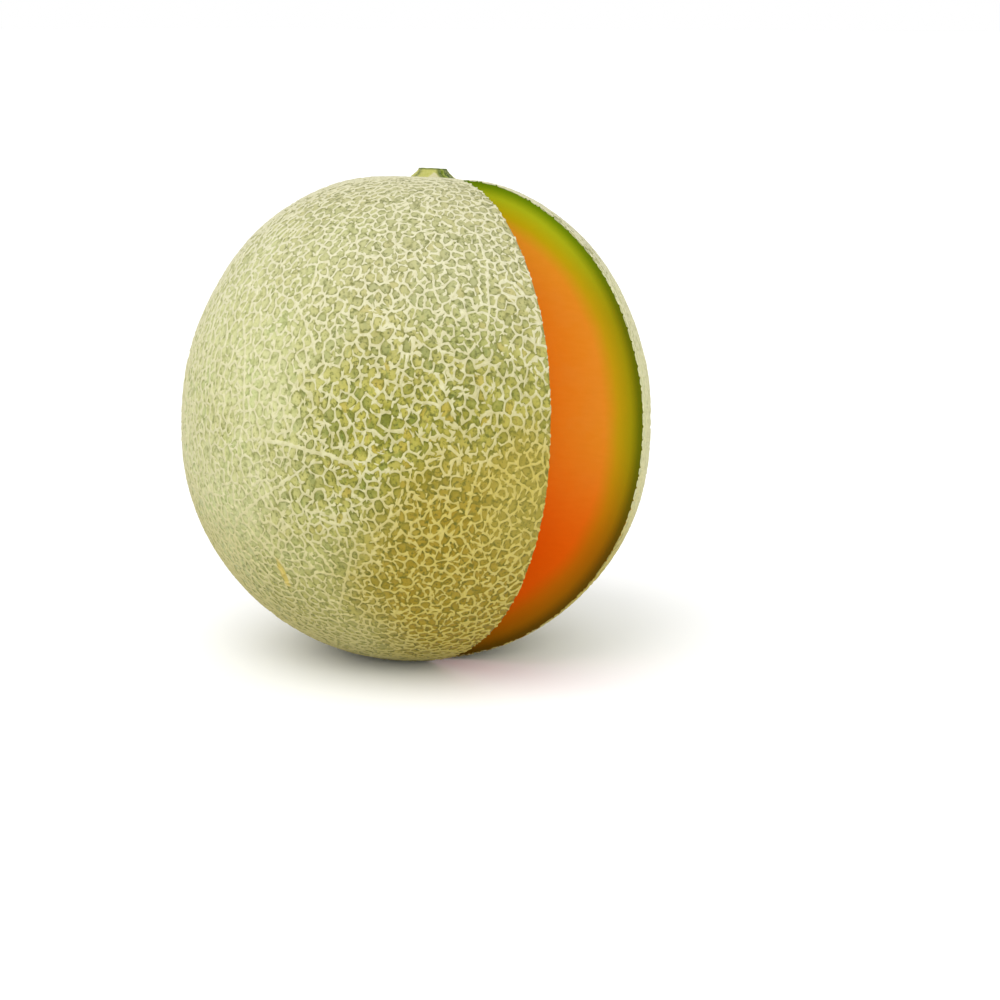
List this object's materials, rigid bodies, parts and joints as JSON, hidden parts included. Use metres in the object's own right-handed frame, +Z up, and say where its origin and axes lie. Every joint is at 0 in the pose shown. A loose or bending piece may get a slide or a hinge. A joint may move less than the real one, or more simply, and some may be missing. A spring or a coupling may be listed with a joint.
{
  "type": "cut cantaloupe melon",
  "caption": "Round netted cantaloupe melon with a wedge cut out of it down to the open seed cavity, showing green-rimmed orange flesh, with a short ribbed stub of stem.",
  "frame": {"origin": "middle of the small flat spot that the melon rests on, with the weight over the spot", "axes": "+Z up. -Y is the front, the side that the wedge is cut out of. +X is to the right as the cut faces the viewer. The stem axis leans 5.6 degrees from upright, to the right and a little back"},
  "size_m": [0.1508, 0.1466, 0.1563],
  "materials": {
    "rind": "corky cream net over pale olive-green skin, dull",
    "flesh": "moist orange flesh, gold and green towards the rind",
    "seed_cavity": "moist pale cream-orange, soft and stringy",
    "stem": "yellow-green, ribbed, dry"
  },
  "bodies": {
    "root": {"melon": "rind", "stem": "stem"}
  },
  "joints": []
}
